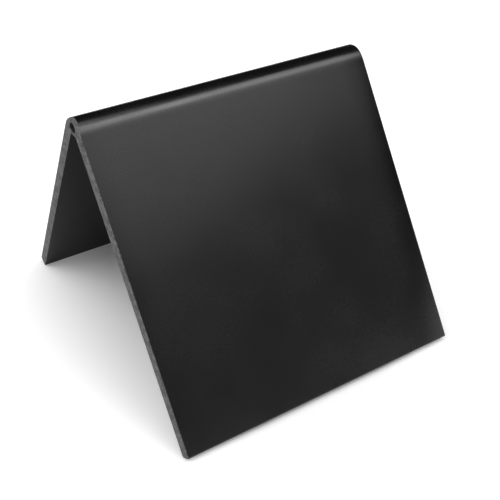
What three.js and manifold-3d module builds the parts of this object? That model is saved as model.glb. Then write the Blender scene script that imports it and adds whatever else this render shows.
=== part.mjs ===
// A free-standing table number sign: a blank black tent of thick sheet.
// Two flat panels are jointed by tongue and groove to one crown profile, whose
// section has a rounded top, an oval eye and a thin web that closes the eye.
// Millimetres, +Z up. X runs along the ridge, -Y is the front, and the origin
// lies on the table, midway between the two feet and the two ends.
import * as THREE from 'three';
import { mergeVertices } from 'three/addons/utils/BufferGeometryUtils.js';
import Module from 'manifold-3d';

// Driving dimensions
const signWidth = 76.2; // along the ridge
const sheetThickness = 3.0; // of both panels and of the profile's two legs
const leanDegrees = 33.8; // each panel from the vertical
const panelRun = 74.6; // flat outer face, from the crown's round to the foot
const crownRadius = 4.5; // outer round of the ridge
const crownLeg = 2.6; // flat leg of the profile below the round, to the seam

const eyeHalfWidth = 1.6; // the oval hollow inside the crown
const eyeHalfHeight = 1.1;
const eyeRise = 2.4; // eye's centre above the centre of the crown's round
const webThickness = 0.7; // under the eye
const webFillet = 0.35; // where the web's underside meets the legs

const tongueThickness = 1.0; // on the profile's legs, centred in the sheet
const tongueReach = 2.4; // past the seam, into the panel's groove
const grooveDepth = 2.6;
const jointClearance = 0.1; // round the tongue, and along the seam
const tongueLead = 0.2; // small chamfer that starts the tongue in its groove

const restingFlat = 0.5; // width of the eased corner that stands on the table
const cornerEase = 0.25; // sawn panel corners, scraped

const arcSteps = 40; // facets of the crown's round
const eyeSteps = 48; // facets round the eye
const filletSteps = 5;
const weldDistance = 1e-5; // corners closer than this are one

const sheetLook = { color: 0x1b1b1c, roughness: 0.45, metalness: 0 };
const crownLook = { color: 0x151516, roughness: 0.38, metalness: 0 };

// Worked out from the sizes above
const lean = THREE.MathUtils.degToRad(leanDegrees);
const innerRadius = crownRadius - sheetThickness; // legs' inner faces from the round's centre
const easedDepth = restingFlat * Math.sin(lean) * Math.cos(lean); // lost from the foot's corner
const crownCentre = panelRun * Math.cos(lean) - innerRadius * Math.sin(lean) - easedDepth;
const webUnderside = eyeRise - eyeHalfHeight - webThickness; // above the round's centre
const innerApex = innerRadius / Math.sin(lean); // where the inner faces would meet

const wasm = await Module();
wasm.setup();

// A point in the section of one leg: `out` is measured across the sheet from the
// round's centre, and `down` along the sheet from where the round ends.
// side is -1 for the front leg and +1 for the back one.
function legPoint(side, out, down) {
  const y = side * (out * Math.cos(lean) + down * Math.sin(lean));
  const z = crownCentre + out * Math.sin(lean) - down * Math.cos(lean);
  return new THREE.Vector2(y, z);
}

// Pushes a section in the Y-Z plane along X, centred on the middle of the ridge.
function alongRidge(shape, length) {
  const geometry = new THREE.ExtrudeGeometry(shape, { depth: length, bevelEnabled: false, steps: 1 });
  geometry.translate(0, 0, -length / 2);
  const axes = new THREE.Matrix4().makeBasis(
    new THREE.Vector3(0, 1, 0),
    new THREE.Vector3(0, 0, 1),
    new THREE.Vector3(1, 0, 0),
  );
  geometry.applyMatrix4(axes);
  return geometry;
}

function toSolid(geometry) {
  const bare = new THREE.BufferGeometry();
  bare.setAttribute('position', geometry.getAttribute('position'));
  if (geometry.index) bare.setIndex(geometry.index);
  const merged = mergeVertices(bare, weldDistance);
  const vertProperties = new Float32Array(merged.getAttribute('position').array);
  const triVerts = new Uint32Array(merged.index.array);
  return new wasm.Manifold(new wasm.Mesh({ numProp: 3, vertProperties, triVerts }));
}

function toGeometry(solid) {
  const mesh = solid.getMesh();
  const geometry = new THREE.BufferGeometry();
  geometry.setAttribute('position', new THREE.BufferAttribute(mesh.vertProperties, 3));
  geometry.setIndex(new THREE.BufferAttribute(mesh.triVerts, 1));
  geometry.computeVertexNormals();
  return geometry;
}

// One panel: the flat sheet from the seam down to its square-cut foot. The outer
// corners are scraped, and the inner corner of the foot is eased level, because
// the sign stands on it.
function panelSection(side) {
  const top = crownLeg + jointClearance;
  const flatUp = restingFlat * Math.sin(lean); // how far the level flat climbs the inner face
  const flatAcross = restingFlat * Math.cos(lean);
  return new THREE.Shape([
    legPoint(side, crownRadius, top),
    legPoint(side, crownRadius, panelRun - cornerEase),
    legPoint(side, crownRadius - cornerEase, panelRun),
    legPoint(side, innerRadius + flatAcross, panelRun),
    legPoint(side, innerRadius, panelRun - flatUp),
    legPoint(side, innerRadius, top),
  ]);
}

// The groove that takes the profile's tongue, cut down from the panel's top edge.
function grooveSection(side) {
  const middle = crownRadius - sheetThickness / 2;
  const half = tongueThickness / 2 + jointClearance;
  const above = crownLeg - sheetThickness; // starts clear above the top edge
  const bottom = crownLeg + jointClearance + grooveDepth;
  return new THREE.Shape([
    legPoint(side, middle + half, above),
    legPoint(side, middle + half, bottom),
    legPoint(side, middle - half, bottom),
    legPoint(side, middle - half, above),
  ]);
}

function makePanel(side) {
  const sheet = toSolid(alongRidge(panelSection(side), signWidth));
  const groove = toSolid(alongRidge(grooveSection(side), signWidth + 2 * sheetThickness));
  return toGeometry(sheet.subtract(groove));
}

// Outline of one leg's end on the profile, from its outer corner round the tongue
// to its inner corner.
function legEnd(side) {
  const middle = crownRadius - sheetThickness / 2;
  const half = tongueThickness / 2;
  const tip = crownLeg + tongueReach;
  return [
    legPoint(side, crownRadius, crownLeg),
    legPoint(side, middle + half, crownLeg),
    legPoint(side, middle + half, tip - tongueLead),
    legPoint(side, middle + half - tongueLead, tip),
    legPoint(side, middle - half + tongueLead, tip),
    legPoint(side, middle - half, tip - tongueLead),
    legPoint(side, middle - half, crownLeg),
    legPoint(side, innerRadius, crownLeg),
  ];
}

// Rounds the corner between one leg's inner face and the web's level underside.
// The fillet touches the face and the underside, so its centre follows from both.
function webCorner(side) {
  const level = crownCentre + webUnderside;
  const centreZ = level - webFillet;
  const faceAtCentre = (innerApex - (centreZ - crownCentre)) * Math.tan(lean);
  const centreY = faceAtCentre - webFillet / Math.cos(lean);
  const points = [];
  for (let i = 0; i <= filletSteps; i += 1) {
    const turn = lean + ((Math.PI / 2 - lean) * i) / filletSteps;
    points.push(new THREE.Vector2(
      side * (centreY + webFillet * Math.cos(turn)),
      centreZ + webFillet * Math.sin(turn),
    ));
  }
  return points;
}

function crownSection() {
  const points = [];
  const sweep = Math.PI - 2 * lean;
  for (let i = 0; i <= arcSteps; i += 1) {
    const angle = lean + (sweep * i) / arcSteps; // from the back face over to the front face
    points.push(new THREE.Vector2(
      crownRadius * Math.cos(angle),
      crownCentre + crownRadius * Math.sin(angle),
    ));
  }
  points.push(...legEnd(-1));
  points.push(...webCorner(-1));
  points.push(...webCorner(1).reverse());
  points.push(...legEnd(1).reverse());
  const shape = new THREE.Shape(points);
  const eye = new THREE.Path();
  const eyeCentre = crownCentre + eyeRise;
  eye.absellipse(0, eyeCentre, eyeHalfWidth, eyeHalfHeight, 0, 2 * Math.PI, true, 0);
  shape.holes.push(new THREE.Path(eye.getPoints(eyeSteps).slice(0, eyeSteps)));
  return shape;
}

function makeCrown() {
  return toGeometry(toSolid(alongRidge(crownSection(), signWidth)));
}

const sign = new THREE.Group();

function addPiece(name, geometry, look) {
  const mesh = new THREE.Mesh(geometry, new THREE.MeshStandardMaterial(look));
  mesh.name = name;
  sign.add(mesh);
}

addPiece('front_panel', makePanel(-1), sheetLook);
addPiece('back_panel', makePanel(1), sheetLook);
addPiece('crown_profile', makeCrown(), crownLook);

export default sign;
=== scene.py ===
"""Looks of a blank black table number sign: two satin sheets on a rounded crown profile.

The sizes repeat the model's own, in millimetres, and every mesh is made in the
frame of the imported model, in metres: X along the ridge, -Y the front, Z up.
"""
import logging
import math
from dataclasses import dataclass, field
from enum import Enum

import bmesh
import bpy
from mathutils import Matrix, Vector
from mathutils.geometry import tessellate_polygon


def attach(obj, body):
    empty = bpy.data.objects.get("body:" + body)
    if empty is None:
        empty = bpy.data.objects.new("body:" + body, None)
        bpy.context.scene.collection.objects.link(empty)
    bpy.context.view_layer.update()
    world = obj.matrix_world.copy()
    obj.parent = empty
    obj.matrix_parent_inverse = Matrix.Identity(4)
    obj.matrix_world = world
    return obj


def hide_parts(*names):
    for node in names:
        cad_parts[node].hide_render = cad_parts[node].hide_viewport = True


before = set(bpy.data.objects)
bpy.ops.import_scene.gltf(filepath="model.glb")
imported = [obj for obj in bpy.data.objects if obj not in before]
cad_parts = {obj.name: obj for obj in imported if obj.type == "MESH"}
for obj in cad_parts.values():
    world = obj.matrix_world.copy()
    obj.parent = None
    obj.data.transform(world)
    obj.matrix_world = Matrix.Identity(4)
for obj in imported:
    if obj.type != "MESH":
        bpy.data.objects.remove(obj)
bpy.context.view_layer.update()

log = logging.getLogger("table_sign")

MM = 0.001
BODY = "root"
PHOTO_WIDTH = 500
# The faces of this layer take cut material made lighter than the sawn end, a painted highlight along the -X
# end's edges.
SCRAPED = "scraped"  # name of the face layer that marks the eased end at -X
MITRE_LIMIT = 2.0  # at a sharp corner an inset grows to this many times its amount at most
FACING = 0.8  # cosine above which a face counts as facing a direction
SHARP_DEGREES = 32  # an edge that turns by more than this stays sharp

Point = tuple[float, float]
Loops = list[list[bmesh.types.BMVert]]
Colour = tuple[float, float, float, float]
Window = tuple[float, float]
Feed = float | bpy.types.NodeSocket
Sockets = dict[str, bpy.types.NodeSocket]


class Side(Enum):
    """Which of the two panels, by the sign of its Y."""

    FRONT = -1
    BACK = 1


class Zone(Enum):
    """Which finish a face takes: its value is the material slot's number."""

    SKIN = 0
    INNER = 1
    SAWN = 2
    # Cut material like the sawn zone, made lighter as a painted highlight along the -X end's edges.
    SCRAPED = 3
    BORE = 4


@dataclass(frozen=True)
class SignSizes:
    """The sign's driving dimensions, in millimetres and degrees.

    Args:
        width: the sign's length along the ridge.
        sheet: thickness of the panels and of the crown's legs.
        lean_degrees: lean of each panel from the vertical.
        panel_run: flat outer face, from the crown's round to the foot.
        crown_radius: outer round of the ridge.
        crown_leg: flat leg of the crown below its round, to the seam.
        eye_half_width: half the width of the oval eye.
        eye_half_height: half its height.
        eye_rise: height of its centre above the centre of the round.
        web: thickness of the web under the eye.
        web_fillet: radius where the web's underside meets the legs.
        tongue: thickness of the tongue on each leg.
        tongue_reach: how far the tongue reaches past the seam.
        glue_line: gap at the seam and round the tongue, as thin as a film of cement.
        resting_flat: width of the eased corner that stands on the table.
    """

    width: float = 76.2
    sheet: float = 3.0
    lean_degrees: float = 33.8
    panel_run: float = 74.6
    crown_radius: float = 4.5
    crown_leg: float = 2.6
    eye_half_width: float = 1.6
    eye_half_height: float = 1.1
    eye_rise: float = 2.4
    web: float = 0.7
    web_fillet: float = 0.35
    tongue: float = 1.0
    tongue_reach: float = 2.4
    glue_line: float = 0.004
    resting_flat: float = 0.5

    @property
    def lean(self) -> float:
        """Lean of each panel from the vertical, in radians."""
        return math.radians(self.lean_degrees)

    @property
    def inner_radius(self) -> float:
        """Distance of the inner faces from the centre of the crown's round."""
        return self.crown_radius - self.sheet

    @property
    def crown_centre(self) -> float:
        """Height of the centre of the crown's round above the table.

        Returns:
            The height, in millimetres.
        """
        eased = self.resting_flat * math.sin(self.lean) * math.cos(self.lean)
        upright = self.panel_run * math.cos(self.lean)
        return upright - self.inner_radius * math.sin(self.lean) - eased

    @property
    def middle(self) -> float:
        """Distance of the sheet's mid-plane from the centre of the crown's round."""
        return self.crown_radius - self.sheet / 2

    def outside(self, point: Point) -> bool:
        """Whether a section point lies farther out than the middle of the sheet.

        Args:
            point: the point's Y and Z, in millimetres.

        Returns:
            True for the outer half of the sheet and of the crown's wall.
        """
        across = abs(point[0])
        up = point[1] - self.crown_centre
        if up > across * math.tan(self.lean):
            return math.hypot(across, up) > self.middle
        return across * math.cos(self.lean) + up * math.sin(self.lean) > self.middle

    def leg_point(self, side: Side, out: float, down: float) -> Point:
        """A section point of one leg.

        Args:
            side: the panel's side.
            out: distance across the sheet from the round's centre.
            down: distance along the sheet from where the round ends.

        Returns:
            The point's Y and Z, in millimetres.
        """
        y = side.value * (out * math.cos(self.lean) + down * math.sin(self.lean))
        z = self.crown_centre + out * math.sin(self.lean) - down * math.cos(self.lean)
        return y, z


def arc(centre: Point, radii: Point, start: float, end: float, steps: int) -> list[Point]:
    """Points along an arc of a circle or an upright ellipse.

    Args:
        centre: the arc's centre.
        radii: half width and half height.
        start: first angle, in radians.
        end: last angle, in radians.
        steps: number of stretches.

    Returns:
        The arc's points, both ends among them.
    """
    points = []
    for i in range(steps + 1):
        turn = start + (end - start) * i / steps
        points.append((centre[0] + radii[0] * math.cos(turn), centre[1] + radii[1] * math.sin(turn)))
    return points


def rounded_corner(before: Point, corner: Point, after: Point, radius: float, steps: int = 4) -> list[Point]:
    """Replaces one sharp corner of a section by an arc that touches both its sides.

    Args:
        before: the point before the corner.
        corner: the corner.
        after: the point after it.
        radius: the arc's radius, in millimetres.
        steps: number of stretches in the arc.

    Returns:
        The arc's points, from the first side to the second.
    """
    here = Vector(corner)
    back = (Vector(before) - here).normalized()
    on = (Vector(after) - here).normalized()
    half = back.angle(on) / 2
    centre = here + (back + on).normalized() * (radius / math.sin(half))
    first = here + back * (radius / math.tan(half)) - centre
    last = here + on * (radius / math.tan(half)) - centre
    turn = first.angle_signed(last)
    points = []
    for i in range(steps + 1):
        spoke = Matrix.Rotation(-turn * i / steps, 2) @ first
        points.append(tuple(centre + spoke))
    return points


def soften(points: list[Point], radii: dict[int, float]) -> list[Point]:
    """Rounds some corners of a closed section.

    Args:
        points: the section's corners in order.
        radii: radius for each corner to round, by its place in the list.

    Returns:
        The section with those corners replaced by arcs.
    """
    result = []
    count = len(points)
    for i, point in enumerate(points):
        if i in radii:
            result += rounded_corner(points[i - 1], point, points[(i + 1) % count], radii[i])
        else:
            result.append(point)
    return result


def inset(loop: list[Point], amounts: list[float]) -> list[Point]:
    """Moves a closed loop into its solid, for the eased edge of an end.

    Args:
        loop: the loop's points, with the solid on their left.
        amounts: how far the loop moves at each point, in millimetres.

    Returns:
        The moved points.
    """
    moved = []
    count = len(loop)
    for i, point in enumerate(loop):
        here = Vector(point)
        come = (here - Vector(loop[i - 1])).normalized()
        go = (Vector(loop[(i + 1) % count]) - here).normalized()
        left = Vector((-(come.y + go.y), come.x + go.x))
        mitre = left.normalized()
        reach = amounts[i] / max(1 / MITRE_LIMIT, mitre.dot(Vector((-come.y, come.x))))
        moved.append(tuple(here + mitre * reach))
    return moved


@dataclass(frozen=True)
class EndEase:
    """The eased edge round one end of a piece, in millimetres.

    Args:
        draw: how far the end's outline is drawn in on the outer half of the sheet.
        inner: how far it is drawn in, and how far it reaches along X, on the inner half.
        leg: how far it reaches along X on the outer half of the legs.
        top: how far it reaches at the top of the ridge.
    """

    draw: float
    inner: float
    leg: float
    top: float

    def drawn(self, sizes: SignSizes, point: Point) -> float:
        """How far the end's outline is drawn in at a point of the section."""
        return self.draw if sizes.outside(point) else self.inner

    def reach(self, sizes: SignSizes, point: Point) -> float:
        """How far the ease reaches along X at a point of the section.

        Args:
            sizes: the sign's dimensions.
            point: the point's Y and Z, in millimetres.

        Returns:
            The reach, which grows over the upper half of the crown's round.
        """
        if not sizes.outside(point):
            return self.inner
        climb = (point[1] - sizes.crown_centre) / sizes.crown_radius
        share = min(1.0, max(0.0, 2 * climb - 1))
        return self.leg + (self.top - self.leg) * share


@dataclass
class RidgeSweep:
    """A solid of one section, pushed along the ridge, with eased sawn ends.

    Args:
        name: the mesh's name.
        sizes: the sign's dimensions.
        loops: the section's outer loop, counter-clockwise seen from +X, then any holes, clockwise.
        scrape: the eased edge of the scraped end at -X.
        trim: the eased edge of the trimmed end at +X.
        ease_steps: number of stretches across each ease.
        stations: number of stretches along the ridge between the eases.
    """

    name: str
    sizes: SignSizes
    loops: list[list[Point]]
    scrape: EndEase = EndEase(draw=0.25, inner=0.05, leg=0.28, top=0.85)
    trim: EndEase = EndEase(draw=0.2, inner=0.05, leg=0.12, top=0.6)
    ease_steps: int = 4
    stations: int = 12

    def ring(self, mesh: bmesh.types.BMesh, end: EndEase, sign: int, turn: float) -> Loops:
        """Adds one station of an eased end.

        Args:
            mesh: the mesh that gets the vertices.
            end: the end's ease.
            sign: -1 at the -X end, 1 at the +X end.
            turn: 0 where the ease leaves the full section, pi / 2 at the end face.

        Returns:
            The new vertices, loop by loop.
        """
        row = []
        for loop in self.loops:
            share = 1 - math.cos(turn)
            drawn = inset(loop, [share * end.drawn(self.sizes, point) for point in loop])
            verts = []
            for full, (y, z) in zip(loop, drawn):
                x = sign * (self.sizes.width / 2 - end.reach(self.sizes, full) * (1 - math.sin(turn)))
                verts.append(mesh.verts.new((x * MM, y * MM, z * MM)))
            row.append(verts)
        return row

    def span(self, mesh: bmesh.types.BMesh, share: float) -> Loops:
        """Adds one station of the full section, at a share of the way from -X to +X."""
        x = (share - 0.5) * (self.sizes.width - 2 * self.scrape.top)
        return [[mesh.verts.new((x * MM, y * MM, z * MM)) for y, z in loop] for loop in self.loops]

    def build(self) -> bpy.types.Object:
        """Builds the mesh, marks its scraped faces and links it to the scene.

        Returns:
            The new object.
        """
        mesh = bmesh.new()
        scraped = mesh.faces.layers.int.new(SCRAPED)
        turns = [math.pi / 2 * i / self.ease_steps for i in range(self.ease_steps + 1)]
        rows = [self.ring(mesh, self.scrape, -1, turn) for turn in reversed(turns)]
        rows += [self.span(mesh, i / self.stations) for i in range(1, self.stations)]
        rows += [self.ring(mesh, self.trim, 1, turn) for turn in turns]
        for place, (row, following) in enumerate(zip(rows, rows[1:])):
            for near, far in zip(row, following):
                count = len(near)
                for i in range(count):
                    j = (i + 1) % count
                    face = mesh.faces.new((near[i], near[j], far[j], far[i]))
                    face[scraped] = int(place < self.ease_steps)
        for row in (rows[0], rows[-1]):
            flat = [vert for loop in row for vert in loop]
            for triangle in tessellate_polygon([[vert.co for vert in loop] for loop in row]):
                mesh.faces.new([flat[k] for k in triangle])
        mesh.normal_update()
        bmesh.ops.recalc_face_normals(mesh, faces=mesh.faces)
        data = bpy.data.meshes.new(self.name)
        mesh.to_mesh(data)
        mesh.free()
        piece = bpy.data.objects.new(self.name, data)
        bpy.context.scene.collection.objects.link(piece)
        return piece


@dataclass(frozen=True)
class Socket:
    """A named input or output of a shader node group, with an input's usual value."""

    name: str
    kind: str
    value: float | None = None


class NodeTree:
    """Adds nodes to a material's or a group's tree and links them by name."""

    def __init__(self, tree: bpy.types.NodeTree) -> None:
        """Wraps one tree."""
        self.tree = tree

    def feed(self, socket: bpy.types.NodeSocket, value: Feed | tuple[float, ...]) -> None:
        """Links an input to another node's output, or sets its own value.

        Args:
            socket: the input.
            value: an output socket, a number, a vector or a colour.
        """
        if isinstance(value, bpy.types.NodeSocket):
            self.tree.links.new(value, socket)
        else:
            socket.default_value = value

    def add(self, kind: str, **settings: object) -> bpy.types.Node:
        """Adds one node.

        Args:
            kind: the node's type name.
            settings: properties by name, and socket values under inputs.

        Returns:
            The new node.
        """
        inputs = settings.pop("inputs", {})
        node = self.tree.nodes.new(kind)
        for name, value in settings.items():
            setattr(node, name, value)
        for name, value in inputs.items():
            self.feed(node.inputs[name], value)
        return node

    def position(self) -> bpy.types.NodeSocket:
        """The place on the object, in metres."""
        return self.add("ShaderNodeTexCoord").outputs["Object"]

    def math(
        self, operation: str, first: Feed, second: Feed = 0.0, third: Feed = 0.0,
    ) -> bpy.types.NodeSocket:
        """Adds a math node and returns its output socket."""
        inputs = {0: first, 1: second, 2: third}
        return self.add("ShaderNodeMath", operation=operation, inputs=inputs).outputs[0]

    def span(self, value: Feed, window: Window, to_low: float, to_high: float) -> bpy.types.NodeSocket:
        """Maps a window of values to another range, clamped.

        Args:
            value: what is mapped.
            window: the values that become to_low and to_high.
            to_low: the range's first value.
            to_high: its last value.

        Returns:
            The output socket.
        """
        low, high = window
        inputs = {"Value": value, "From Min": low, "From Max": high, "To Min": to_low, "To Max": to_high}
        return self.add("ShaderNodeMapRange", clamp=True, inputs=inputs).outputs["Result"]

    def mask(self, value: Feed, window: Window) -> bpy.types.NodeSocket:
        """Maps a window of values to 0 and 1, clamped, and returns the output socket."""
        return self.span(value, window, 0.0, 1.0)

    def noise(
        self, vector: bpy.types.NodeSocket, scale: Feed, detail: float = 2.0, rough: float = 0.5,
    ) -> bpy.types.NodeSocket:
        """Adds a noise texture and returns its value socket."""
        inputs = {"Vector": vector, "Scale": scale, "Detail": detail, "Roughness": rough}
        return self.add("ShaderNodeTexNoise", inputs=inputs).outputs["Fac"]

    def mix_colour(self, factor: Feed, first: Colour, second: Colour) -> bpy.types.NodeSocket:
        """Mixes two colours.

        Args:
            factor: 0 for the first colour, 1 for the second.
            first: the first colour.
            second: the second colour.

        Returns:
            The mixed colour's socket.
        """
        node = self.add("ShaderNodeMix", data_type="RGBA")
        # The node repeats its socket names for each type of data, so the colour's are taken by number.
        for index, value in ((0, factor), (6, first), (7, second)):
            self.feed(node.inputs[index], value)
        return node.outputs[2]

    def stretched(
        self, vector: bpy.types.NodeSocket, scale: tuple[float, float, float],
    ) -> bpy.types.NodeSocket:
        """Scales a coordinate unevenly and returns the vector socket."""
        return self.add("ShaderNodeMapping", inputs={"Vector": vector, "Scale": scale}).outputs[0]


class EffectGroup:
    """A shader node group that several finishes share."""

    name: str = "effect"
    inputs: tuple[Socket, ...] = ()
    outputs: tuple[Socket, ...] = ()

    def __init__(self) -> None:
        """Builds the group once, with its sockets."""
        self.group = bpy.data.node_groups.new(self.name, "ShaderNodeTree")
        for sockets, direction in ((self.inputs, "INPUT"), (self.outputs, "OUTPUT")):
            for socket in sockets:
                made = self.group.interface.new_socket(socket.name, in_out=direction, socket_type=socket.kind)
                if socket.value is not None:
                    made.default_value = socket.value
        nodes = NodeTree(self.group)
        entry = nodes.add("NodeGroupInput")
        leave = nodes.add("NodeGroupOutput")
        for name, made in self.wire(nodes, entry.outputs).items():
            nodes.feed(leave.inputs[name], made)

    def wire(self, nodes: NodeTree, given: bpy.types.bpy_prop_collection) -> Sockets:
        """Wires the group and returns each output's socket by name."""
        raise NotImplementedError

    def place(self, nodes: NodeTree, **values: Feed) -> bpy.types.Node:
        """Places the group in a material.

        Args:
            nodes: the material's tree.
            values: the material's own value for each input, named in lower case.

        Returns:
            The group's node.
        """
        node = nodes.add("ShaderNodeGroup", node_tree=self.group)
        for name, value in values.items():
            nodes.feed(node.inputs[name.replace("_", " ").capitalize()], value)
        return node


class FineGrain(EffectGroup):
    """The pebbled grain of rolled plastic sheet, as a height and a mask."""

    name = "fine_grain"
    inputs = (Socket("Place", "NodeSocketVector"), Socket("Grains per metre", "NodeSocketFloat", 4200.0))
    outputs = (Socket("Height", "NodeSocketFloat"), Socket("Mask", "NodeSocketFloat"))
    coarse_scale: float = 0.28
    coarse_weight: float = 0.6
    mask_window: Window = (0.55, 1.05)

    def wire(self, nodes: NodeTree, given: bpy.types.bpy_prop_collection) -> Sockets:
        """Sums a fine and a coarser noise.

        Args:
            nodes: the group's tree.
            given: the group's inputs.

        Returns:
            The sockets of the height and the mask.
        """
        grains = given["Grains per metre"]
        fine = nodes.noise(given["Place"], grains, detail=3.0, rough=0.55)
        coarse = nodes.noise(given["Place"], nodes.math("MULTIPLY", grains, self.coarse_scale))
        height = nodes.math("MULTIPLY_ADD", coarse, self.coarse_weight, fine)
        return {"Height": height, "Mask": nodes.mask(height, self.mask_window)}


class Handling(EffectGroup):
    """Faint smears and scuffs that handling leaves in a satin surface."""

    name = "handling"
    inputs = (Socket("Place", "NodeSocketVector"), Socket("Amount", "NodeSocketFloat", 1.0))
    outputs = (Socket("Smear", "NodeSocketFloat"), Socket("Scuff", "NodeSocketFloat"))
    smears_per_metre: float = 60.0
    smear_window: Window = (0.38, 0.68)
    hair_scale: tuple[float, float, float] = (60.0, 1400.0, 60.0)
    hair_turn: tuple[float, float, float] = (0.3, 0.5, 0.9)
    hair_window: Window = (0.7, 0.78)
    patches_per_metre: float = 90.0
    patch_window: Window = (0.64, 0.8)

    def wire(self, nodes: NodeTree, given: bpy.types.bpy_prop_collection) -> Sockets:
        """Makes broad soft smears, and hairline scuffs that keep to sparse patches.

        Args:
            nodes: the group's tree.
            given: the group's inputs.

        Returns:
            The sockets of the smear and the scuff.
        """
        place = given["Place"]
        smear = nodes.mask(nodes.noise(place, self.smears_per_metre, detail=1.5), self.smear_window)
        drawn_out = {"Vector": place, "Rotation": self.hair_turn, "Scale": self.hair_scale}
        tilted = nodes.add("ShaderNodeMapping", inputs=drawn_out).outputs[0]
        hair = nodes.mask(nodes.noise(tilted, 1.0, detail=1.0), self.hair_window)
        patch = nodes.mask(nodes.noise(place, self.patches_per_metre, detail=1.0), self.patch_window)
        scuff = nodes.math("MULTIPLY", hair, patch)
        return {
            "Smear": nodes.math("MULTIPLY", smear, given["Amount"]),
            "Scuff": nodes.math("MULTIPLY", scuff, given["Amount"]),
        }


class SawMarks(EffectGroup):
    """The fine scoring and grit that a saw leaves across an edge."""

    name = "saw_marks"
    inputs = (
        Socket("Place", "NodeSocketVector"),
        Socket("Marks per metre", "NodeSocketFloat", 1500.0),
        Socket("Raggedness", "NodeSocketFloat", 1.0),
    )
    outputs = (
        Socket("Height", "NodeSocketFloat"),
        Socket("Tone", "NodeSocketFloat"),
        Socket("Mottle", "NodeSocketFloat"),
    )
    score_stretch: tuple[float, float, float] = (0.15, 0.3, 1.0)
    grit_per_metre: float = 2600.0
    mottle_per_metre: float = 1000.0
    tone_window: Window = (1.34, 1.66)

    def wire(self, nodes: NodeTree, given: bpy.types.bpy_prop_collection) -> Sockets:
        """Scores stretched noise across the cut, and breaks it up with grit and a mottle.

        Args:
            nodes: the group's tree.
            given: the group's inputs.

        Returns:
            The sockets of the height, the tone and the mottle.
        """
        scored = nodes.stretched(given["Place"], self.score_stretch)
        score = nodes.noise(scored, given["Marks per metre"], detail=3.0, rough=0.6)
        grit = nodes.noise(given["Place"], self.grit_per_metre, detail=2.0, rough=0.6)
        mottle = nodes.noise(given["Place"], self.mottle_per_metre, detail=4.0, rough=0.7)
        height = nodes.math("MULTIPLY_ADD", grit, given["Raggedness"], score)
        tone = nodes.mask(nodes.math("ADD", height, mottle), self.tone_window)
        return {"Height": height, "Tone": tone, "Mottle": mottle}


@dataclass
class Effects:
    """The shared node groups, each built once."""

    grain: FineGrain = field(default_factory=FineGrain)
    handling: Handling = field(default_factory=Handling)
    saw: SawMarks = field(default_factory=SawMarks)


def grey(level: float, warmth: float = 0.0) -> Colour:
    """A near-neutral linear colour, a little cooler where warmth is negative."""
    return level * (1 + warmth), level, level * (1 - warmth), 1.0


def new_material(name: str) -> tuple[bpy.types.Material, NodeTree, bpy.types.Node]:
    """Starts a material with nodes.

    Args:
        name: the material's name.

    Returns:
        The material, its tree, and its Principled BSDF.
    """
    material = bpy.data.materials.new(name)
    material.use_nodes = True
    nodes = NodeTree(material.node_tree)
    return material, nodes, material.node_tree.nodes["Principled BSDF"]


@dataclass(frozen=True)
class SatinBlack:
    """Satin black plastic with a rolled grain, for the sheets and the crown.

    Args:
        name: the material's name.
        shade: linear base level.
        scuffed: linear level that scuffs and grain tops rise towards.
        roughness: the surface's mean roughness.
        specular: the shader's specular level.
        tint: warmth of the base, cool where negative.
        scuffed_tint: warmth of the scuffs.
        grains_per_metre: how fine the grain is.
        handled: how strongly smears and scuffs show.
        scuff_tone: share of the way to the scuffed level on a full scuff.
        grain_tone: share of the way to it on a full grain top.
        smear_roughening: roughness that a full smear adds.
        grain_roughening: roughness that a full grain top adds.
        mean_roughening: about what both add on average, taken off the base.
        grain_depth: strength of the grain in the normal.
        grain_height: height of the grain, in metres.
    """

    name: str
    shade: float = 0.0018
    scuffed: float = 0.006
    roughness: float = 0.24
    specular: float = 0.625
    tint: float = -0.03
    scuffed_tint: float = -0.02
    grains_per_metre: float = 4200.0
    handled: float = 1.0
    scuff_tone: float = 0.5
    grain_tone: float = 0.25
    smear_roughening: float = 0.06
    grain_roughening: float = 0.04
    mean_roughening: float = 0.035
    grain_depth: float = 0.06
    grain_height: float = 0.00002

    def make(self, effects: Effects) -> bpy.types.Material:
        """Builds the material.

        Args:
            effects: the shared node groups.

        Returns:
            The new material.
        """
        material, nodes, shader = new_material(self.name)
        place = nodes.position()
        grain = effects.grain.place(nodes, place=place, grains_per_metre=self.grains_per_metre)
        worn = effects.handling.place(nodes, place=place, amount=self.handled)
        topped = nodes.math("MULTIPLY", grain.outputs["Mask"], self.grain_tone)
        lifted = nodes.math("MULTIPLY_ADD", worn.outputs["Scuff"], self.scuff_tone, topped)
        base, worn_tone = grey(self.shade, self.tint), grey(self.scuffed, self.scuffed_tint)
        nodes.feed(shader.inputs["Base Color"], nodes.mix_colour(lifted, base, worn_tone))
        smooth = self.roughness - self.mean_roughening
        smear = nodes.math("MULTIPLY_ADD", worn.outputs["Smear"], self.smear_roughening, smooth)
        rough = nodes.math("MULTIPLY_ADD", grain.outputs["Mask"], self.grain_roughening, smear)
        nodes.feed(shader.inputs["Roughness"], rough)
        shader.inputs["Specular IOR Level"].default_value = self.specular
        bump = nodes.add("ShaderNodeBump", inputs={
            "Strength": self.grain_depth, "Distance": self.grain_height, "Height": grain.outputs["Height"],
        })
        nodes.feed(shader.inputs["Normal"], bump.outputs["Normal"])
        return material


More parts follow.
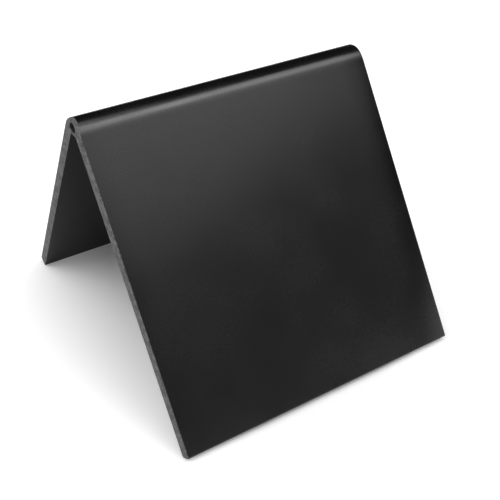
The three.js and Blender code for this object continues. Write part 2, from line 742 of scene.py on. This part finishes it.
@dataclass(frozen=True)
class SawnEdge:
    """The dull grey that a saw leaves on black plastic.

    Args:
        name: the material's name.
        low: linear level in the scored valleys.
        high: linear level on the torn tops.
        roughness: the surface's mean roughness.
        mottle_roughening: roughness that the mottle's full value adds.
        mean_roughening: about what it adds on average, taken off the base.
        specular: the shader's specular level.
        marks_per_metre: how close the saw's scoring lies.
        raggedness: how strongly grit breaks up the scoring.
        score_depth: strength of the marks in the normal.
        score_height: height of the marks, in metres.
    """

    name: str
    low: float
    high: float
    roughness: float = 0.75
    mottle_roughening: float = 0.15
    mean_roughening: float = 0.07
    specular: float = 0.35
    marks_per_metre: float = 1500.0
    raggedness: float = 1.0
    score_depth: float = 0.5
    score_height: float = 0.00006

    def make(self, effects: Effects) -> bpy.types.Material:
        """Builds the material.

        Args:
            effects: the shared node groups.

        Returns:
            The new material.
        """
        material, nodes, shader = new_material(self.name)
        marks = effects.saw.place(
            nodes, place=nodes.position(), marks_per_metre=self.marks_per_metre, raggedness=self.raggedness,
        )
        tone = nodes.mix_colour(marks.outputs["Tone"], grey(self.low), grey(self.high))
        nodes.feed(shader.inputs["Base Color"], tone)
        smooth = self.roughness - self.mean_roughening
        rough = nodes.math("MULTIPLY_ADD", marks.outputs["Mottle"], self.mottle_roughening, smooth)
        nodes.feed(shader.inputs["Roughness"], rough)
        shader.inputs["Specular IOR Level"].default_value = self.specular
        bump = nodes.add("ShaderNodeBump", inputs={
            "Strength": self.score_depth, "Distance": self.score_height, "Height": marks.outputs["Height"],
        })
        nodes.feed(shader.inputs["Normal"], bump.outputs["Normal"])
        return material


@dataclass
class SignPiece:
    """One piece of the sign: its mesh, its finish by zone, and its ride.

    Args:
        sizes: the sign's dimensions.
        finishes: a material for each zone.
    """

    sizes: SignSizes
    finishes: dict[Zone, bpy.types.Material]

    def zone_of(self, face: bpy.types.MeshPolygon) -> Zone:
        """Sawn at the two ends of the ridge, inner where the face looks down, skin elsewhere.

        Args:
            face: a face of the piece.

        Returns:
            The face's zone.
        """
        if abs(face.normal.x) > FACING:
            return Zone.SAWN
        return Zone.INNER if face.normal.z < 0 else Zone.SKIN

    def dress(self, piece: bpy.types.Object) -> None:
        """Puts a finish on each face, and smooths the rounds but not the edges.

        Args:
            piece: the piece's object.
        """
        for zone in Zone:
            piece.data.materials.append(self.finishes[zone])
        marks = piece.data.attributes[SCRAPED].data
        for face in piece.data.polygons:
            zone = Zone.SCRAPED if marks[face.index].value else self.zone_of(face)
            face.material_index = zone.value
            face.use_smooth = True
        piece.data.attributes.remove(piece.data.attributes[SCRAPED])
        piece.data.set_sharp_from_angle(angle=math.radians(SHARP_DEGREES))

    def settle(self, piece: bpy.types.Object, node: str, slot: str) -> None:
        """Puts the piece in place of its solid, on the sign's one body.

        Args:
            piece: the piece's object.
            node: the solid's node.
            slot: not used.
        """
        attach(piece, BODY)
        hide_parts(node)
        log.info("%s: %d faces", piece.name, len(piece.data.polygons))


@dataclass
class Panel(SignPiece):
    """A flat sheet from the crown's seam down to its square-cut foot.

    Args:
        side: which of the two panels it is.
        foot_round: radius of the foot's outer corner, in millimetres.
    """

    side: Side = Side.FRONT
    foot_round: float = 0.38

    def section(self) -> list[Point]:
        """The sheet's outline, with the groove in its top edge.

        Returns:
            The outline's points, counter-clockwise seen from +X.
        """
        s = self.sizes
        top = s.crown_leg + s.glue_line
        half = s.tongue / 2 + s.glue_line
        bottom = s.crown_leg + s.glue_line + s.tongue_reach
        flat_up = s.resting_flat * math.sin(s.lean)
        flat_across = s.resting_flat * math.cos(s.lean)
        marks = [
            (s.crown_radius, top),
            (s.middle + half, top),
            (s.middle + half, bottom),
            (s.middle - half, bottom),
            (s.middle - half, top),
            (s.inner_radius, top),
            (s.inner_radius, s.panel_run - flat_up),
            (s.inner_radius + flat_across, s.panel_run),
            (s.crown_radius, s.panel_run),
        ]
        points = [s.leg_point(self.side, out, down) for out, down in marks]
        foot = len(points) - 1
        if self.side is Side.FRONT:
            points.reverse()
            foot = 0
        return soften(points, {foot: self.foot_round})

    def zone_of(self, face: bpy.types.MeshPolygon) -> Zone:
        """Sawn at the foot and the seam too, and otherwise as on any piece.

        Args:
            face: a face of the panel.

        Returns:
            The face's zone.
        """
        lean = self.sizes.lean
        along = Vector((0.0, self.side.value * math.sin(lean), -math.cos(lean)))
        if abs(face.normal.dot(along)) > FACING:
            return Zone.SAWN
        return super().zone_of(face)

    def build(self) -> bpy.types.Object:
        """Builds, dresses and settles the panel.

        Returns:
            The panel's object.
        """
        node = f"{self.side.name.lower()}_panel"
        piece = RidgeSweep(f"{node}_sheet", self.sizes, [self.section()]).build()
        self.dress(piece)
        self.settle(piece, node, "panel_sheet")
        return piece


@dataclass
class Crown(SignPiece):
    """The crown profile: a round top, an oval eye, and a tongue for each panel.

    Args:
        round_steps: number of stretches in half of the round.
        eye_steps: number of stretches round the eye.
        fillet_steps: number of stretches in each fillet of the web.
        fade: length over which the round's bend falls to nothing, in millimetres.
        bore_margin: how far out of the eye's oval a face still counts as its wall, 1 on the oval.
    """

    round_steps: int = 90
    eye_steps: int = 72
    fillet_steps: int = 8
    fade: float = 2.6
    bore_margin: float = 1.02

    def leg_end(self, side: Side) -> list[Point]:
        """One leg's end from its outer corner round the tongue to its inner corner.

        Args:
            side: the leg's side.

        Returns:
            The end's points.
        """
        s = self.sizes
        half = s.tongue / 2
        tip = s.crown_leg + s.tongue_reach
        marks = [
            (s.crown_radius, s.crown_leg),
            (s.middle + half, s.crown_leg),
            (s.middle + half, tip),
            (s.middle - half, tip),
            (s.middle - half, s.crown_leg),
            (s.inner_radius, s.crown_leg),
        ]
        return [s.leg_point(side, out, down) for out, down in marks]

    def web_corner(self, side: Side) -> list[Point]:
        """The small fillet between a leg's inner face and the web's underside.

        Args:
            side: the leg's side.

        Returns:
            The fillet's points, from the leg to the web.
        """
        s = self.sizes
        level = s.eye_rise - s.eye_half_height - s.web
        centre_z = level - s.web_fillet
        apex = s.inner_radius / math.sin(s.lean)
        centre_y = (apex - centre_z) * math.tan(s.lean) - s.web_fillet / math.cos(s.lean)
        centre = (centre_y, s.crown_centre + centre_z)
        points = arc(centre, (s.web_fillet, s.web_fillet), s.lean, math.pi / 2, self.fillet_steps)
        return [(side.value * y, z) for y, z in points]

    def half_round(self) -> list[Point]:
        """The round from the top down to the back leg, with a bend that fades out into the flat.

        The bend is even at first, and over the last stretch, fade long, it falls
        evenly to nothing. That pushes the flat outward by a shift, as on the
        easement of a railway curve, so the radius is a little under the crown's,
        and the curve still passes through the top and ends on the leg's outer face.

        Returns:
            The half round's points.
        """
        s = self.sizes
        sweep = math.pi / 2 - s.lean
        shift = self.fade ** 2 / (24 * s.crown_radius)
        radius = s.crown_radius - shift / (1 - math.sin(s.lean))
        even = radius * sweep - self.fade / 2
        step = (even + self.fade) / self.round_steps
        y, z, turned = 0.0, s.crown_centre + s.crown_radius, 0.0
        points = [(y, z)]
        for i in range(self.round_steps):
            past = max(0.0, (i + 0.5) * step - even)
            bend = step / radius * (1 - past / self.fade)
            y += step * math.cos(turned + bend / 2)
            z -= step * math.sin(turned + bend / 2)
            turned += bend
            points.append((y, z))
        return points

    def section(self) -> list[Point]:
        """The profile's outer loop.

        Returns:
            The loop's points, counter-clockwise seen from +X.
        """
        down_back = self.half_round()
        down_front = [(-y, z) for y, z in down_back]
        points = down_back[::-1] + down_front[1:]
        points += self.leg_end(Side.FRONT)
        points += self.web_corner(Side.FRONT)
        points += self.web_corner(Side.BACK)[::-1]
        points += self.leg_end(Side.BACK)[::-1]
        return points

    def eye(self) -> list[Point]:
        """The oval eye.

        Returns:
            The oval's points, clockwise seen from +X.
        """
        s = self.sizes
        centre = (0.0, s.crown_centre + s.eye_rise)
        radii = (s.eye_half_width, s.eye_half_height)
        return arc(centre, radii, 2 * math.pi, 0.0, self.eye_steps)[:-1]

    def zone_of(self, face: bpy.types.MeshPolygon) -> Zone:
        """Bore inside the eye, and otherwise as on any piece.

        Args:
            face: a face of the crown.

        Returns:
            The face's zone.
        """
        s = self.sizes
        y = face.center.y / MM
        z = face.center.z / MM - s.crown_centre - s.eye_rise
        inside = math.hypot(y / s.eye_half_width, z / s.eye_half_height) < self.bore_margin
        zone = super().zone_of(face)
        return Zone.BORE if inside and zone is not Zone.SAWN else zone

    def build(self) -> bpy.types.Object:
        """Builds, dresses and settles the crown.

        Returns:
            The crown's object.
        """
        piece = RidgeSweep("crown_round", self.sizes, [self.section(), self.eye()]).build()
        self.dress(piece)
        self.settle(piece, "crown_profile", "crown_plastic")
        return piece


@dataclass(frozen=True)
class SoftLight:
    """A broad soft light, as a wide sun.

    Args:
        name: the lamp's name.
        strength: light on a surface that faces it.
        elevation: height above the horizon, in degrees.
        azimuth: 0 comes from the front, and positive from the ridge's +X end, in degrees.
        spread: the light's width seen from the sign, in degrees.
    """

    name: str
    strength: float
    elevation: float
    azimuth: float
    spread: float

    def make(self) -> bpy.types.Object:
        """Builds the lamp and turns it to the sign.

        Returns:
            The lamp's object.
        """
        data = bpy.data.lights.new(self.name, "SUN")
        data.energy = self.strength
        data.angle = math.radians(self.spread)
        lamp = bpy.data.objects.new(self.name, data)
        up = math.radians(self.elevation)
        around = math.radians(self.azimuth)
        towards = Vector((math.sin(around) * math.cos(up), -math.cos(around) * math.cos(up), math.sin(up)))
        lamp.rotation_euler = towards.to_track_quat("Z", "Y").to_euler()
        bpy.context.scene.collection.objects.link(lamp)
        return lamp


@dataclass(frozen=True)
class Studio:
    """A pale floor with a painted glow, soft lights and a dim room.

    Args:
        lights: the lamps, which together give a floor facing up a plain level of light.
        room_level: the room's own level.
        floor_size: the floor's width, in metres.
        floor_level: the paper's linear level.
        fibre_tone: how much lighter the paper's fibres are.
        fibres_per_metre: how fine the fibres are.
        fibre_window: the noise values where fibres begin and are full.
        near_lift: painted glow that the floor gains under the sign, on the rays that show it; it lightens the
            cast shadow there.
        far_lift: the painted glow away from the sign, which washes the lamps' cast shadow out there.
        lift_window: where the painted glow starts and ends its rise, in metres along X.
        lift_squeeze: how fast it rises along Y, as a share of how fast it does along X.
    """

    lights: tuple[SoftLight, ...] = (
        SoftLight("key_near", 0.43, 60.0, 28.0, 26.0),
        SoftLight("key_far", 0.5, 53.0, 58.0, 27.0),
        SoftLight("side_light", 1.02, 31.0, -120.0, 60.0),
        SoftLight("left_light", 0.7, 48.0, -85.0, 50.0),
        SoftLight("back_light", 0.27, 62.0, -160.0, 30.0),
        SoftLight("top_light", 0.72, 86.0, 0.0, 44.0),
        SoftLight("front_fill", 0.2, 38.0, 22.0, 66.0),
        SoftLight("upper_fill", 0.26, 41.5, 22.0, 33.0),
        SoftLight("upper_far", 0.1, 38.0, 51.0, 30.0),
    )
    room_level: float = 0.025
    floor_size: float = 6.0
    floor_level: float = 0.96
    fibre_tone: float = 0.005
    fibres_per_metre: float = 300.0
    fibre_window: Window = (0.3, 0.7)
    near_lift: float = 0.08
    far_lift: float = 0.3
    lift_window: Window = (0.025, 0.05)
    lift_squeeze: float = 0.4

    def make(self) -> None:
        """Builds the lights, the world and the floor."""
        for light in self.lights:
            light.make()
        world = bpy.data.worlds.new("dim_room")
        world.use_nodes = True
        room = world.node_tree.nodes["Background"]
        room.inputs["Strength"].default_value = self.room_level
        room.inputs["Color"].default_value = grey(1.0)
        bpy.context.scene.world = world
        self.floor()

    def lift(self, nodes: NodeTree, place: bpy.types.NodeSocket) -> bpy.types.NodeSocket:
        """A painted glow that the floor gains on the rays that show it, and on no ray that lights the sign;
        it grows away from the sign and washes out the lamps' cast shadow there.

        Args:
            nodes: the floor material's tree.
            place: the place on the floor.

        Returns:
            The lift's socket.
        """
        ray = nodes.add("ShaderNodeLightPath")
        seen = nodes.math("MAXIMUM", ray.outputs["Is Camera Ray"], ray.outputs["Is Glossy Ray"])
        seen = nodes.math("MAXIMUM", seen, ray.outputs["Is Transmission Ray"])
        # Painted light: the glow grows in an oval away from the sign, so the cast shadow fades out sooner
        # than the lamps make it.
        oval = nodes.stretched(place, (1.0, self.lift_squeeze, 1.0))
        away = nodes.add("ShaderNodeVectorMath", operation="LENGTH", inputs={0: oval}).outputs["Value"]
        return nodes.math("MULTIPLY", seen, nodes.span(away, self.lift_window, self.near_lift, self.far_lift))

    def floor(self) -> None:
        """Lays the pale floor at the height of the feet, with a painted glow that lightens its shadows."""
        half = self.floor_size / 2
        mesh = bpy.data.meshes.new("pale_floor")
        corners = [(-half, -half, 0.0), (half, -half, 0.0), (half, half, 0.0), (-half, half, 0.0)]
        mesh.from_pydata(corners, [], [(0, 1, 2, 3)])
        floor = bpy.data.objects.new("pale_floor", mesh)
        bpy.context.scene.collection.objects.link(floor)
        material, nodes, shader = new_material("floor_paper")
        place = nodes.position()
        fibres = nodes.mask(nodes.noise(place, self.fibres_per_metre), self.fibre_window)
        paper, fibre = grey(self.floor_level), grey(self.floor_level + self.fibre_tone)
        nodes.feed(shader.inputs["Base Color"], nodes.mix_colour(fibres, paper, fibre))
        shader.inputs["Roughness"].default_value = 1.0
        shader.inputs["Specular IOR Level"].default_value = 0.0
        # Painted light: the floor glows on seen rays, more away from the sign, which lightens the lamps' cast
        # shadow.
        shader.inputs["Emission Color"].default_value = grey(1.0)
        nodes.feed(shader.inputs["Emission Strength"], self.lift(nodes, place))
        mesh.materials.append(material)


@dataclass(frozen=True)
class PhotoCamera:
    """The camera that took the photograph, as solved from the sign's edges.

    Args:
        place: where it stands, in millimetres.
        aim: a point that it looks at, in millimetres.
        roll_degrees: its roll about the line of sight.
        focal_pixels: its focal length, in pixels of the photograph.
        sensor: its sensor's width, in millimetres.
        nearest: the clipping start, in metres.
        farthest: the clipping end, in metres.
    """

    place: tuple[float, float, float] = (-90.27, -156.1, 145.24)
    aim: tuple[float, float, float] = (6.61, 0.08, 13.8)
    roll_degrees: float = 0.525
    focal_pixels: float = 828.8
    sensor: float = 36.0
    nearest: float = 0.005
    farthest: float = 20.0

    def make(self) -> None:
        """Builds the camera and makes it the scene's own."""
        data = bpy.data.cameras.new("photo_camera")
        data.sensor_width = self.sensor
        data.lens = self.focal_pixels / PHOTO_WIDTH * self.sensor
        data.clip_start = self.nearest
        data.clip_end = self.farthest
        camera = bpy.data.objects.new("photo_camera", data)
        looking = Vector(self.aim) - Vector(self.place)
        turn = looking.to_track_quat("-Z", "Y").to_matrix()
        roll = Matrix.Rotation(-math.radians(self.roll_degrees), 3, "Z")
        camera.matrix_world = Matrix.Translation(Vector(self.place) * MM) @ (turn @ roll).to_4x4()
        bpy.context.scene.collection.objects.link(camera)
        bpy.context.scene.camera = camera


def main() -> None:
    """Builds the camera, the studio and the sign's pieces, in order."""
    logging.basicConfig(level=logging.INFO, format="%(name)s: %(message)s")
    log.info("%d solids in the packed model", len(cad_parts))
    bpy.context.scene.view_settings.view_transform = "Standard"
    PhotoCamera().make()
    Studio().make()

    effects = Effects()
    sizes = SignSizes()
    # Painted shade: the down-facing inner faces take a copy of the satin with a tenth of its gloss over a
    # lighter base, which keeps the inside of the tent dark.
    inside = SatinBlack("inside_painted_shade", shade=0.01, scuffed=0.016, roughness=0.2, specular=0.06)
    shared = {
        Zone.INNER: inside.make(effects),
        Zone.SAWN: SawnEdge("sawn_edge", low=0.042, high=0.142).make(effects),
        # Painted highlight: the eased -X end is cut material like the sawn end, made lighter to paint the
        # bright stripe along the end's edges.
        Zone.SCRAPED: SawnEdge("scraped_edge_and_highlight", low=0.07, high=0.18).make(effects),
        Zone.BORE: SawnEdge("bore_wall", low=0.016, high=0.05).make(effects),
    }
    sheet_finishes = {Zone.SKIN: SatinBlack("satin_sheet").make(effects)} | shared
    crown_finishes = {Zone.SKIN: SatinBlack("satin_crown").make(effects)} | shared
    for side in Side:
        Panel(sizes, sheet_finishes, side=side).build()
    Crown(sizes, crown_finishes).build()


if __name__ == "__main__":
    main()
